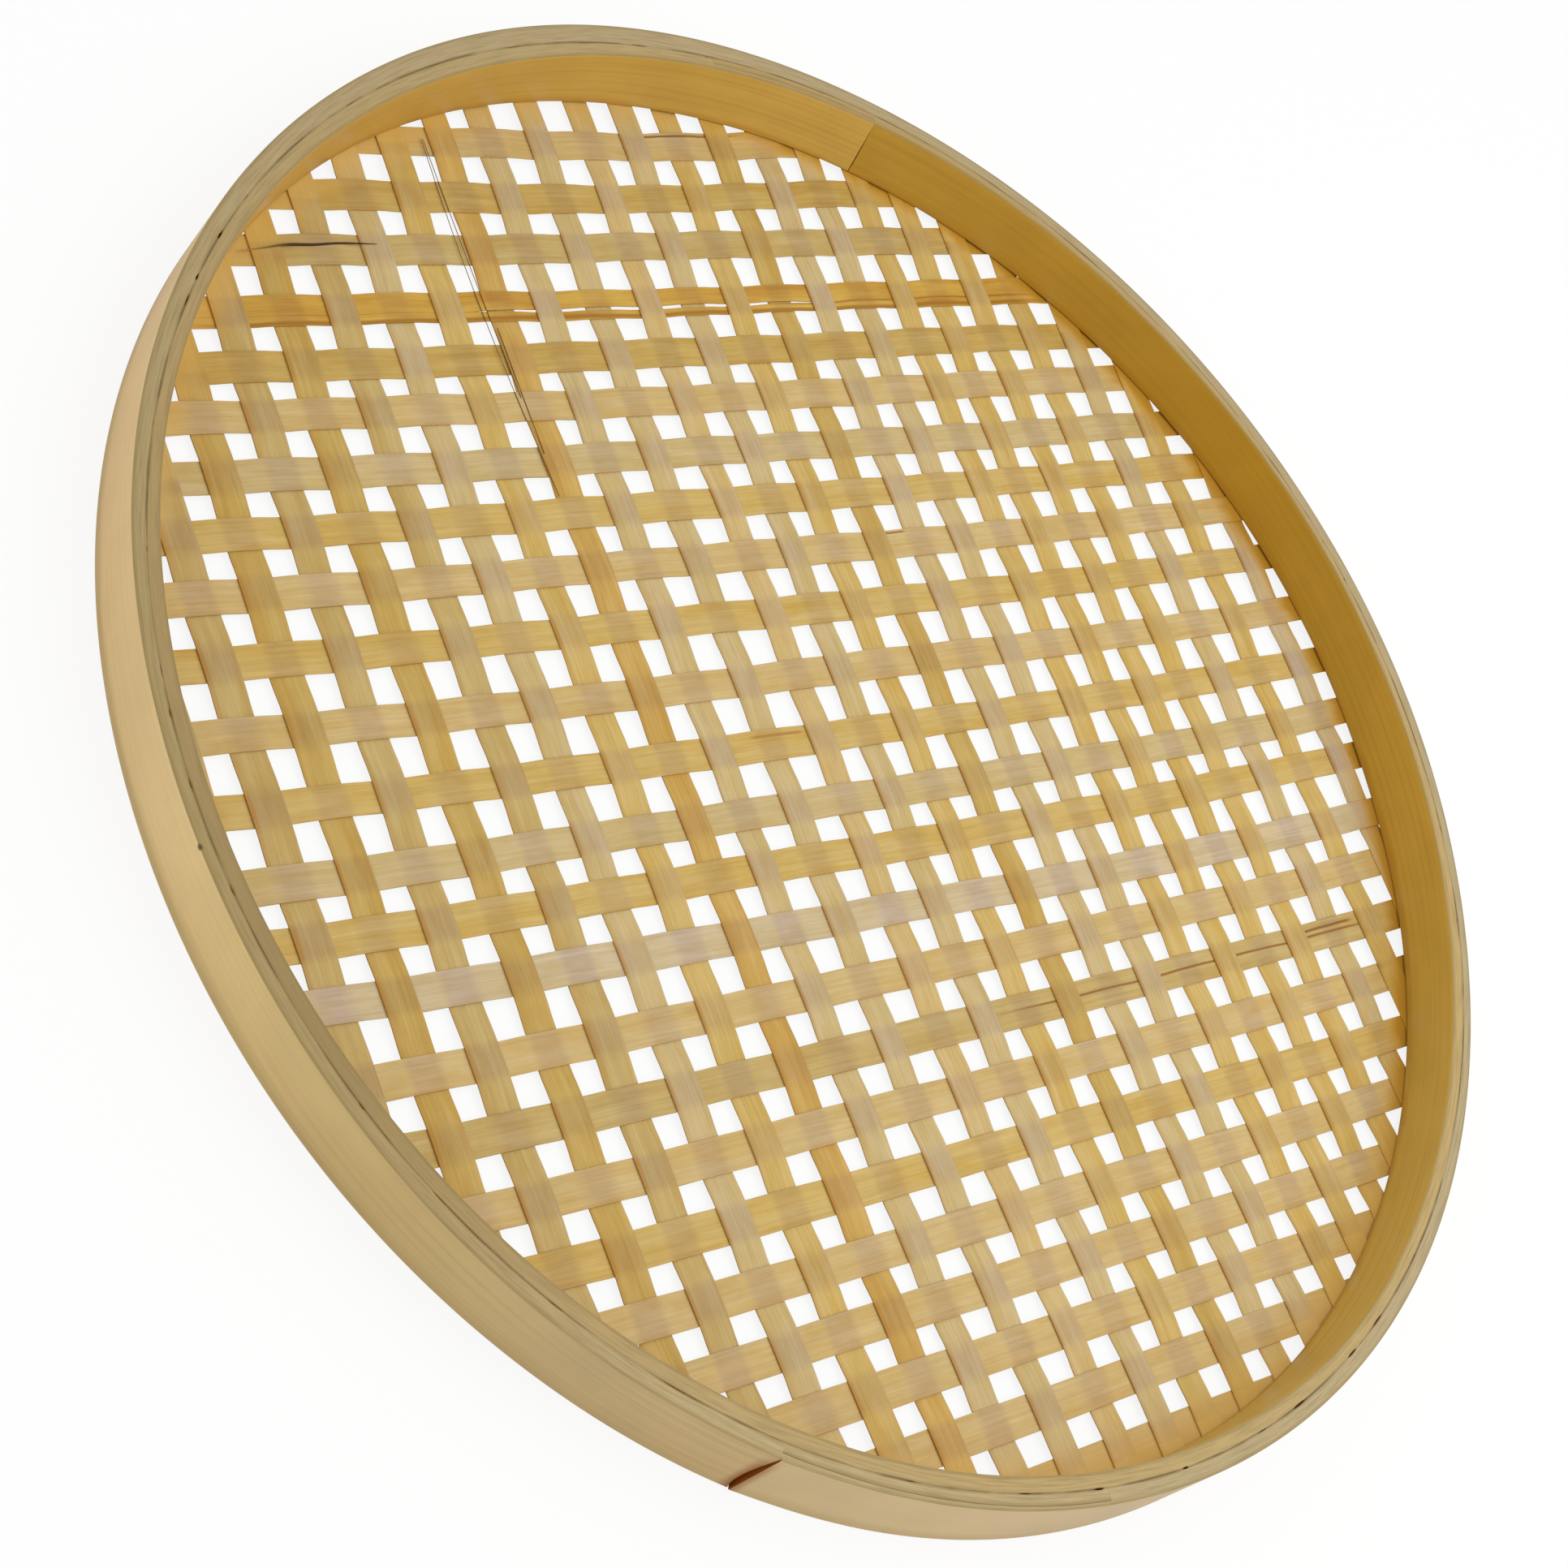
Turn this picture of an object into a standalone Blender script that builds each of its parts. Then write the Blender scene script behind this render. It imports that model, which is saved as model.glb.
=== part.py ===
"""Round bamboo zaru: a plain-woven sheet of split strips held between two bent hoops.

Units are metres, +Z is up. The origin is on the tray's axis, on the surface it stands on.
"""

import math

import bmesh
import bpy

# Hoops
TRAY_DIAMETER = 0.400
HOOP_HEIGHT = 0.020
OUTER_HOOP_THICKNESS = 0.0026
INNER_HOOP_THICKNESS = 0.0027
HOOP_LAP_LENGTH = 0.070
LAP_END_THICKNESS = 0.0009
LAP_END_GAP = 0.0011
OUTER_LAP_ANGLE = math.radians(234.75)
INNER_LAP_ANGLE = math.radians(63.75)
HOOP_FACETS = 120

# Strips
STRIP_THICKNESS = 0.0008
WARP_WIDTH = 0.0081
WEFT_WIDTH = 0.0081
WARP_COUNT = 24
WEFT_COUNT = 24
WARP_EDGE_SHARE = 0.88
WEFT_EDGE_SHARE = 0.80
WARP_SHIFT_SHARE = -0.15
WEFT_SHIFT_SHARE = -0.38
STRIP_END_SETBACK = 0.0006
STRIP_END_FACET = 0.009

# Clearance between pieces that touch, and the mesh tool's merge distance
SEAT_CLEARANCE = 0.0003
MERGE_DISTANCE = 0.00001

# Hoop radii and the two layers of strip ends between them
outer_radius = TRAY_DIAMETER / 2
channel_outer_radius = outer_radius - OUTER_HOOP_THICKNESS
weft_end_radius = channel_outer_radius - SEAT_CLEARANCE - STRIP_THICKNESS / 2
warp_end_radius = weft_end_radius - STRIP_THICKNESS - SEAT_CLEARANCE
channel_inner_radius = warp_end_radius - STRIP_THICKNESS / 2 - SEAT_CLEARANCE
inner_radius = channel_inner_radius - INNER_HOOP_THICKNESS

# Levels of the woven sheet, measured at the middle of a strip's thickness
strip_step = STRIP_THICKNESS + SEAT_CLEARANCE
warp_under_level = STRIP_THICKNESS / 2
weft_level = warp_under_level + strip_step
warp_over_level = weft_level + strip_step
sheet_top = warp_over_level + STRIP_THICKNESS / 2
strip_end_top = HOOP_HEIGHT - STRIP_END_SETBACK

# Bamboo tones, as red, green and blue shares
HOOP_OUTSIDE_SHARES = (0.62, 0.44, 0.20)
HOOP_INSIDE_SHARES = (0.40, 0.21, 0.03)
STRIP_TONE_SHARES = (
    (0.58, 0.38, 0.12),
    (0.60, 0.42, 0.19),
    (0.53, 0.39, 0.22),
    (0.62, 0.35, 0.10),
    (0.56, 0.37, 0.17),
)
BAMBOO_ROUGHNESS_SHARE = 0.55


def clear_scene():
    """Remove whatever the file holds."""
    for old in list(bpy.data.objects):
        bpy.data.objects.remove(old, do_unlink=True)


def make_collection(name):
    """A collection linked to the scene."""
    collection = bpy.data.collections.new(name)
    bpy.context.scene.collection.children.link(collection)
    return collection


def give_bamboo(piece, tone):
    """A matt split-bamboo finish in one tone."""
    material = bpy.data.materials.new(piece.name + "_bamboo")
    material.use_nodes = True
    shader = material.node_tree.nodes["Principled BSDF"]
    shader.inputs["Base Color"].default_value = (*tone, 1)
    shader.inputs["Roughness"].default_value = BAMBOO_ROUGHNESS_SHARE
    shader.inputs["Metallic"].default_value = 0
    piece.data.materials.append(material)


def evenly_spaced(count, end_radius, edge_share, shift_share):
    """Middle lines of one family of strips across the tray, from low to high."""
    spacing = 2 * end_radius / (count - 1 + 2 * edge_share)
    middle = (count - 1) / 2
    return [(index - middle + shift_share) * spacing for index in range(count)]


def lapped_outline(face_radius, back_radius, lap_angle):
    """Plan outline of a lath bent round once, its ends tapered and lapped.

    The first end shows as a blunt step on the face side and thickens along the lap.
    The last end thins behind it and stays a clearance away.
    """
    thickness = abs(back_radius - face_radius)
    inward = (back_radius - face_radius) / thickness
    facet_angle = 2 * math.pi / HOOP_FACETS
    lap_facets = max(2, round(HOOP_LAP_LENGTH / (outer_radius * facet_angle)))
    taper = (thickness - LAP_END_THICKNESS) / lap_facets
    hidden_facets = int((thickness - LAP_END_THICKNESS - 2 * SEAT_CLEARANCE) / taper)
    gap_angle = LAP_END_GAP / outer_radius

    def point(radius, facet, extra_angle=0):
        angle = lap_angle + facet * facet_angle + extra_angle
        return (radius * math.cos(angle), radius * math.sin(angle))

    def lap_radius(facet):
        depth = LAP_END_THICKNESS + min(facet, lap_facets) * taper
        return face_radius + inward * depth

    face_side = [point(face_radius, facet) for facet in range(HOOP_FACETS)]
    shoulder = [
        point(face_radius, HOOP_FACETS, -gap_angle),
        point(lap_radius(0) + inward * SEAT_CLEARANCE, HOOP_FACETS, -gap_angle),
    ]
    tail = [
        point(lap_radius(facet) + inward * SEAT_CLEARANCE, HOOP_FACETS + facet)
        for facet in range(hidden_facets + 1)
    ]
    back_facets = range(HOOP_FACETS + hidden_facets, lap_facets, -1)
    back_side = [point(back_radius, facet) for facet in back_facets]
    lap_side = [point(lap_radius(facet), facet) for facet in range(lap_facets, -1, -1)]
    return face_side + shoulder + tail + back_side + lap_side


def make_hoop(name, outline, bottom, tone, collection):
    """A bent lath standing on edge, from its plan outline up to the rim."""
    height = HOOP_HEIGHT - bottom
    curve = bpy.data.curves.new(name, "CURVE")
    curve.dimensions = "2D"
    curve.fill_mode = "BOTH"
    curve.extrude = height / 2
    spline = curve.splines.new("POLY")
    spline.points.add(len(outline) - 1)
    for spline_point, (x, y) in zip(spline.points, outline):
        spline_point.co = (x, y, 0, 1)
    spline.use_cyclic_u = True
    spline.use_smooth = True
    hoop = bpy.data.objects.new(name, curve)
    hoop.location.z = bottom + height / 2
    collection.objects.link(hoop)
    give_bamboo(hoop, tone)
    return hoop


def grow_edge(surface, edge, places):
    """Extrude an edge of the strip's surface to new places, lowest across first."""
    grown = bmesh.ops.extrude_edge_only(surface, edges=[edge])["geom"]
    corners = [item for item in grown if isinstance(item, bmesh.types.BMVert)]
    corners.sort(key=lambda corner: corner.co.y)
    for corner, place in zip(corners, places):
        corner.co = place
    return surface.edges.get(corners)


def turn_up_end(surface, edge, side, offset, width, end_radius, level):
    """Run one end of a strip out to the hoops and turn it up between them."""
    low_angle = math.asin((offset - width / 2) / end_radius)
    high_angle = math.asin((offset + width / 2) / end_radius)
    facets = max(1, math.ceil(end_radius * (high_angle - low_angle) / STRIP_END_FACET))
    fold = []
    for step in range(facets + 1):
        angle = low_angle + (high_angle - low_angle) * step / facets
        reach = side * end_radius * math.cos(angle)
        fold.append((reach, end_radius * math.sin(angle) - offset, level))
    edge = grow_edge(surface, edge, (fold[0], fold[-1]))
    low_corner, high_corner = sorted(edge.verts, key=lambda corner: corner.co.y)
    corners = [low_corner]
    for place in fold[1:-1]:
        edge = surface.edges.get((corners[-1], high_corner))
        corner = bmesh.utils.edge_split(edge, corners[-1], 1 / 2)[1]
        corner.co = place
        corners.append(corner)
    corners.append(high_corner)
    fold_edges = [surface.edges.get(pair) for pair in zip(corners, corners[1:])]
    raised = bmesh.ops.extrude_edge_only(surface, edges=fold_edges)["geom"]
    for item in raised:
        if isinstance(item, bmesh.types.BMVert):
            item.co.z = strip_end_top


def make_strip(name, offset, width, end_radius, knots, turn, tone, collection):
    """One split strip through its knots, each a place along it and a level.

    The strip is modelled along X and turned about the tray's axis into its family.
    """
    surface = bmesh.new()
    half = width / 2
    (first_place, first_level), (last_place, last_level) = knots[0], knots[-1]
    corners = [surface.verts.new((first_place, across, first_level)) for across in (-half, half)]
    first_edge = surface.edges.new(corners)
    edge = first_edge
    for place, level in knots[1:]:
        edge = grow_edge(surface, edge, ((place, -half, level), (place, half, level)))
    turn_up_end(surface, edge, 1, offset, width, end_radius, last_level)
    turn_up_end(surface, first_edge, -1, offset, width, end_radius, first_level)
    bmesh.ops.recalc_face_normals(surface, faces=surface.faces)
    mesh = bpy.data.meshes.new(name)
    surface.to_mesh(mesh)
    surface.free()
    strip = bpy.data.objects.new(name, mesh)
    strip.location = (-offset * math.sin(turn), offset * math.cos(turn), 0)
    strip.rotation_euler.z = turn
    collection.objects.link(strip)
    solidify = strip.modifiers.new("thickness", "SOLIDIFY")
    solidify.thickness = STRIP_THICKNESS
    solidify.offset = 0
    solidify.solidify_mode = "NON_MANIFOLD"
    solidify.nonmanifold_thickness_mode = "CONSTRAINTS"
    solidify.nonmanifold_merge_threshold = MERGE_DISTANCE
    give_bamboo(strip, tone)
    return strip


def warp_crossings(warp_index, warp_offset, weft_lines):
    """Places of the wefts that one warp crosses, each with the warp's level there.

    Near the hoops every warp lies over, so its end can turn up inside the wefts' ends.
    """
    warp_far = abs(warp_offset) + WARP_WIDTH / 2
    warp_near = max(0, abs(warp_offset) - WARP_WIDTH / 2)
    crossings = []
    for weft_index, weft_line in enumerate(weft_lines):
        weft_far = abs(weft_line) + WEFT_WIDTH / 2
        weft_near = max(0, abs(weft_line) - WEFT_WIDTH / 2)
        if math.hypot(warp_near, weft_near) > warp_end_radius + STRIP_THICKNESS:
            continue
        under_hoop = math.hypot(warp_far, weft_far) > inner_radius
        is_over = under_hoop or (warp_index + weft_index) % 2 == 1
        crossings.append((weft_line, warp_over_level if is_over else warp_under_level))
    return crossings


def warp_knots(crossings, warp_offset):
    """Turning places of a warp: flat across each weft, sloping in the gaps between.

    A warp that stays at one level has a single knot.
    """
    far_side = abs(warp_offset) + WARP_WIDTH / 2
    limit = math.sqrt(warp_end_radius ** 2 - far_side ** 2) - STRIP_THICKNESS
    flat = WEFT_WIDTH / 2 + SEAT_CLEARANCE
    knots = []
    for (here, level), (there, next_level) in zip(crossings, crossings[1:]):
        if level == next_level:
            continue
        leaves = max(here + flat, -limit)
        arrives = min(there - flat, limit)
        knots += [(leaves, level), (arrives, next_level)]
    if not knots:
        level = crossings[0][1] if crossings else warp_over_level
        knots = [(0, level)]
    return knots


def build_hoops(collection):
    """Both hoops, the inner one seated on the woven sheet."""
    outer_outline = lapped_outline(outer_radius, channel_outer_radius, OUTER_LAP_ANGLE)
    make_hoop("outer_hoop", outer_outline, 0, HOOP_OUTSIDE_SHARES, collection)
    inner_outline = lapped_outline(inner_radius, channel_inner_radius, INNER_LAP_ANGLE)
    inner_bottom = sheet_top + SEAT_CLEARANCE
    make_hoop("inner_hoop", inner_outline, inner_bottom, HOOP_INSIDE_SHARES, collection)


def build_sheet(collection):
    """The woven sheet: wefts along X, warps along Y."""
    warp_lines = evenly_spaced(WARP_COUNT, warp_end_radius, WARP_EDGE_SHARE, WARP_SHIFT_SHARE)
    weft_lines = evenly_spaced(WEFT_COUNT, weft_end_radius, WEFT_EDGE_SHARE, WEFT_SHIFT_SHARE)
    tones = len(STRIP_TONE_SHARES)
    for index, line in enumerate(weft_lines):
        name = f"weft_strip_{index + 1:02d}"
        tone = STRIP_TONE_SHARES[index * index % tones]
        knots = [(0, weft_level)]
        make_strip(name, line, WEFT_WIDTH, weft_end_radius, knots, 0, tone, collection)
    for index, line in enumerate(warp_lines):
        name = f"warp_strip_{index + 1:02d}"
        tone = STRIP_TONE_SHARES[(index * index + 2 * index + 1) % tones]
        offset = -line
        knots = warp_knots(warp_crossings(index, offset, weft_lines), offset)
        make_strip(
            name, offset, WARP_WIDTH, warp_end_radius, knots, math.pi / 2, tone, collection
        )


clear_scene()
tray = make_collection("zaru_bamboo_basket")
build_hoops(tray)
build_sheet(tray)
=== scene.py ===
import math
import random

import bpy
import numpy as np
from mathutils import Matrix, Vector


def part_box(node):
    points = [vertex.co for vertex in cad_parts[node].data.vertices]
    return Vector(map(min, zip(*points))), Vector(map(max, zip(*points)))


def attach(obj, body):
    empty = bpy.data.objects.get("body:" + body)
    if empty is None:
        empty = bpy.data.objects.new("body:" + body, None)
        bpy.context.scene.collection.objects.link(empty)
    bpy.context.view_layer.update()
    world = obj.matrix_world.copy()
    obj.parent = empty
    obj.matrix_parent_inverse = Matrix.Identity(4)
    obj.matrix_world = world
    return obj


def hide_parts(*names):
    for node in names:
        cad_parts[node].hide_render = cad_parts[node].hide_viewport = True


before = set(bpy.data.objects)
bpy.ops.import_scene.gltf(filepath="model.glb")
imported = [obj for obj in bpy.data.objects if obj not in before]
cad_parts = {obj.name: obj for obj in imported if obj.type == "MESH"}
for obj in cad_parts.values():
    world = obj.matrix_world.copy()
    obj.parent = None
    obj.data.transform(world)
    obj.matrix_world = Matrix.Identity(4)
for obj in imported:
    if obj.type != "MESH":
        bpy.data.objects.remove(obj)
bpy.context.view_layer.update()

# The woven sheet: 24 wefts along X and 24 warps along Y, bamboo split lengthwise into thin strips 8 mm wide.
# They are plain woven by hand, one over and one under, and the rows lean, bow and crowd a little.
# Each end turns up between the two hoops, warps inside wefts, and the hoops hold it by their grip.
mm = 0.001
tray_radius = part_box("outer_hoop")[1].x
rim_thickness = 7.8 * mm
wall_radius = tray_radius - rim_thickness
strip_count = 24
half_thickness = 0.2 * mm
edge_round = 0.08 * mm
sheet_level = 1.5 * mm
wave_height = 0.24 * mm
wave_flatness = 2.2
end_radius = {"warp": tray_radius - 4.4 * mm, "weft": tray_radius - 3.3 * mm}
end_bend_radius = 1.2 * mm
end_top = 18 * mm
drift_limit = 3.2 * mm
line_play = 0.35 * mm
line_wave = 70 * mm
width_play = 0.3 * mm
low_side_wave = 50 * mm
high_side_wave = 60 * mm
mesh_spacing = 16 * mm
stations_per_mesh = 8
wall_stations = 14
bend_stations = 6
over_reach = 4.9 * mm
over_fade = 1.6 * mm
weave_random = random.Random(24)


def node_name(kind, number):
    return f"{kind}_strip_{number:02d}"


def strip_line(kind, number):
    """Middle line and half width of a strip, from its solid: X of a warp or Y of a weft."""
    low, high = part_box(node_name(kind, number))
    axis = 0 if kind == "warp" else 1
    return (low[axis] + high[axis]) / 2, (high[axis] - low[axis]) / 2


numbers = range(1, strip_count + 1)
kinds = ("weft", "warp")
lines = {(kind, number): strip_line(kind, number) for kind in kinds for number in numbers}

# Strips that lie aside of an even spacing, or askew, in millimetres at the low and high end of their run.
aside = {
    ("weft", 1): (-0.8, -0.8), ("weft", 10): (2.2, -2.2), ("weft", 12): (-2.2, -2.0),
    ("weft", 13): (-1.4, -1.2), ("weft", 15): (1.2, 1.6), ("weft", 16): (1.2, 2.0),
    ("weft", 17): (0.6, 1.6), ("weft", 20): (-2.0, -1.2), ("weft", 21): (-1.9, -1.6),
    ("weft", 24): (1.2, 1.4),
    ("warp", 10): (-1.2, -0.8), ("warp", 12): (1.0, 1.6), ("warp", 13): (0.9, 0.9),
    ("warp", 19): (0.4, -1.6), ("warp", 20): (0.3, -1.8), ("warp", 21): (-0.4, -1.4),
    ("warp", 23): (1.0, 1.4), ("warp", 24): (4.0, 4.2),
}


def drift(kind, x, y):
    """How far the hand-woven rows stand off straight, even lines, in metres, and never past the limit.
    x and y become shares of the radius, so each term's factor is its size in millimetres at the hoop."""
    x = np.asarray(x) / tray_radius
    y = np.asarray(y) / tray_radius
    if kind == "warp":
        bow = 7 * y ** 4
        lean = 3.8 * x ** 2 * y
        crowding = -0.6 * x - 1.1 * x ** 2 - 0.8
        off = (bow + lean + crowding) * mm
    else:
        bow = 3 * x ** 4
        crowding = 4.5 * y - 10.4 * y ** 3 - 0.4
        fan = 12.2 * x * y ** 3 + 5.2 * x * y ** 2
        off = (bow + crowding + fan) * mm
    return drift_limit * np.tanh(off / drift_limit)


def wander(size, shortest):
    """A smooth seeded wander along a strip: three sines of different lengths."""
    waves = []
    for turn in (1, 2, 3):
        height = size * weave_random.uniform(0.3, 0.6) / turn
        length = shortest * weave_random.uniform(1, 1.6) * (4 - turn)
        waves.append((height, length, weave_random.uniform(0, 2 * math.pi)))
    return lambda run: sum(height * np.sin(2 * math.pi * run / length + start)
                           for height, length, start in waves)


strip_wander = {strip: wander(line_play, line_wave) for strip in lines}
side_wander = {strip: (wander(width_play, low_side_wave), wander(width_play, high_side_wave))
               for strip in lines}


def centre_line(kind, number, run):
    """Where the middle of a strip lies across, at a distance along it."""
    line = lines[kind, number][0]
    x, y = (line, run) if kind == "warp" else (run, line)
    low, high = aside.get((kind, number), (0, 0))
    along = min(max(run / tray_radius / 2 + 0.5, 0), 1)
    own = (low + (high - low) * along) * mm
    return line + float(drift(kind, x, y)) + own + float(strip_wander[kind, number](run))


def warp_lies_over(warp, weft):
    """Plain weave, but beside the wall each warp lies over so that its end can turn up inside the wefts."""
    (x, half_x), (y, half_y) = lines["warp", warp], lines["weft", weft]
    under_wall = math.hypot(abs(x) + half_x, abs(y) + half_y) > wall_radius
    return under_wall or (warp + weft) % 2 == 1


def crossings(kind, number):
    """Places along a strip at which it crosses the other family, each with 1 for over or -1 for under."""
    other = "weft" if kind == "warp" else "warp"
    own_line, half = lines[kind, number]
    found = []
    for crossed in numbers:
        place = centre_line(other, crossed, own_line)
        if math.hypot(place, own_line) > tray_radius + half:
            continue
        warp, weft = (number, crossed) if kind == "warp" else (crossed, number)
        found.append((place, 1 if warp_lies_over(warp, weft) == (kind == "warp") else -1))
    return sorted(found)


def wave_level(found, run):
    """Height of a strip's middle: level across each crossing, then up or down to the next."""
    run = min(max(run, found[0][0]), found[-1][0])
    level = found[0][1]
    for (place, side), (next_place, next_side) in zip(found, found[1:]):
        if place <= run <= next_place:
            across = (run - place) / (next_place - place)
            rise = math.tanh(wave_flatness * math.cos(math.pi * across)) / math.tanh(wave_flatness)
            level = (side + next_side) / 2 + (side - next_side) / 2 * rise
    return sheet_level + wave_height * level


def lying_over(found, run):
    """1 where a strip lies over another, falling to 0 over the meshes beside it."""
    away = min([abs(run - place) for place, side in found if side > 0], default=1)
    return min(max((over_reach - away) / over_fade, 0), 1)


def strip_section(low, high):
    """Points round a strip's cross-section, as (across, height), with slightly rounded edges."""
    top = [(low + (high - low) * share, half_thickness) for share in (0.25, 0.5, 0.75)]
    top = [(low + edge_round, half_thickness)] + top + [(high - edge_round, half_thickness)]
    side = half_thickness - edge_round
    bottom = [(high - edge_round, -half_thickness), ((low + high) / 2, -half_thickness),
              (low + edge_round, -half_thickness)]
    return top + [(high, side), (high, -side)] + bottom + [(low, -side), (low, side)]


def strip_sweep(kind, number, edges):
    """Rings of a strip from one turned-up end to the other, with (run, across, over) for each point.
    edges gives the strip's two sides, across from its middle line, at a distance along it. The rings are
    square to the strip between -shared and shared. Beyond, they bend to follow the round wall."""
    found = crossings(kind, number)
    line, half = lines[kind, number]
    radius = end_radius[kind]
    half_run = math.sqrt(radius ** 2 - line ** 2)
    outermost = max(abs(centre_line(kind, number, side * half_run)) for side in (-1, 1)) + half + width_play
    least_margin = 2 * mm
    room_to_bend = 6 * mm
    shared = math.sqrt(radius ** 2 - min(outermost, radius - least_margin) ** 2) - room_to_bend

    def place(run, across, level, tip, height):
        """A point beside the middle line; tip is how far the strip has turned up there."""
        if kind == "warp":
            x, y = across, run
        else:
            x, y = run, across
        inward = -height * math.sin(tip) / math.hypot(x, y)
        return (x + x * inward, y + y * inward, level + height * math.cos(tip))

    def end_point(side, step, across, height):
        """A point of an end: flat out to the wall, round the bend, then up between the hoops."""
        at_wall = centre_line(kind, number, side * half_run) + across
        reach = math.sqrt(radius ** 2 - at_wall ** 2)
        bend = end_bend_radius * radius / reach
        if step < wall_stations:
            run = side * (shared + (reach - bend - shared) * step / wall_stations)
            return place(run, centre_line(kind, number, run) + across, wave_level(found, run), 0, height)
        level = wave_level(found, side * reach)
        if step > wall_stations + bend_stations:
            return place(side * reach, at_wall, end_top, math.pi / 2, height)
        tip = math.pi / 2 * (step - wall_stations) / bend_stations
        run = side * (reach - bend + bend * math.sin(tip))
        return place(run, at_wall, level + end_bend_radius * (1 - math.cos(tip)), tip, height)

    rings, runs = [], []

    def sweep_end(side, steps):
        """Rings of one end. Its run goes on by 1 mm a ring, which is near enough for its fibres."""
        section = strip_section(*edges(side * shared))
        for step in steps:
            rings.append([end_point(side, step, across, height) for across, height in section])
            runs.append([(side * (shared + step * mm), across, 0) for across, height in section])

    last = wall_stations + bend_stations + 1
    sweep_end(-1, range(last, 0, -1))
    for run in np.linspace(-shared, shared, max(4, int(2 * shared / mesh_spacing * stations_per_mesh))):
        section = strip_section(*edges(run))
        centre = centre_line(kind, number, run)
        level = wave_level(found, run)
        rings.append([place(run, centre + across, level, 0, height) for across, height in section])
        over = lying_over(found, run)
        runs.append([(run, across, over) for across, height in section])
    sweep_end(1, range(1, last + 1))
    rings, runs = np.array(rings), np.array(runs)
    return (rings[:, ::-1], runs[:, ::-1]) if kind == "warp" else (rings, runs)


def sweep_mesh(name, sweeps, grain_offset=(0, 0)):
    """One piece from sweeps of rings, each closed at both ends. Of its UV maps, run follows the piece in
    metres, grain is the same moved along, so that no two strips show the same fibres, and over is a
    strip's third value, 1 where it lies over another."""
    vertices, faces, runs = [], [], []
    for rings, places in sweeps:
        stations, points = rings.shape[:2]
        index = np.arange(stations * points).reshape(stations, points) + len(vertices)
        follow = np.roll(index, -1, axis=1)
        quads = np.stack([index[:-1], index[1:], follow[1:], follow[:-1]], axis=-1)
        faces += quads.reshape(-1, 4).tolist() + [index[0].tolist(), index[-1][::-1].tolist()]
        vertices += rings.reshape(-1, 3).tolist()
        runs += places.reshape(-1, places.shape[2]).tolist()
    mesh = bpy.data.meshes.new(name)
    mesh.from_pydata(vertices, [], faces)
    corners = np.zeros(len(mesh.loops), int)
    mesh.loops.foreach_get("vertex_index", corners)
    runs = np.array(runs)
    layers = {"run": runs[:, :2], "grain": runs[:, :2] + np.array(grain_offset)}
    if runs.shape[1] == 3:
        layers["over"] = np.stack([runs[:, 2], runs[:, 2]], axis=-1)
    for layer, values in layers.items():
        values = values[corners].astype(np.float32)
        mesh.uv_layers.new(name=layer).data.foreach_set("uv", values.ravel())
    mesh.shade_smooth()
    crease = math.radians(40)
    mesh.set_sharp_from_angle(angle=crease)
    piece = bpy.data.objects.new(name, mesh)
    bpy.context.scene.collection.objects.link(piece)
    return piece


def linear(colour):
    """An sRGB hex colour as the linear values that a shader takes."""
    shares = [int(colour[place:place + 2], 16) / 255 for place in (1, 3, 5)]
    return [share / 12.92 if share <= 0.04045 else ((share + 0.055) / 1.055) ** 2.4 for share in shares] + [1]


def add(tree, kind, links=None, **settings):
    """Adds one shader node with its settings, gives its inputs values or links, and returns its outputs.
    Inputs 1 and 2 of a MapRange are the values that it turns into inputs 3 and 4, or else into 0 and 1."""
    node = tree.nodes.new("ShaderNode" + kind)
    for setting, value in settings.items():
        setattr(node, setting, value)
    for place, value in (links or {}).items():
        if isinstance(value, bpy.types.NodeSocket):
            tree.links.new(value, node.inputs[place])
        else:
            node.inputs[place].default_value = value
    return node.outputs


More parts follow.
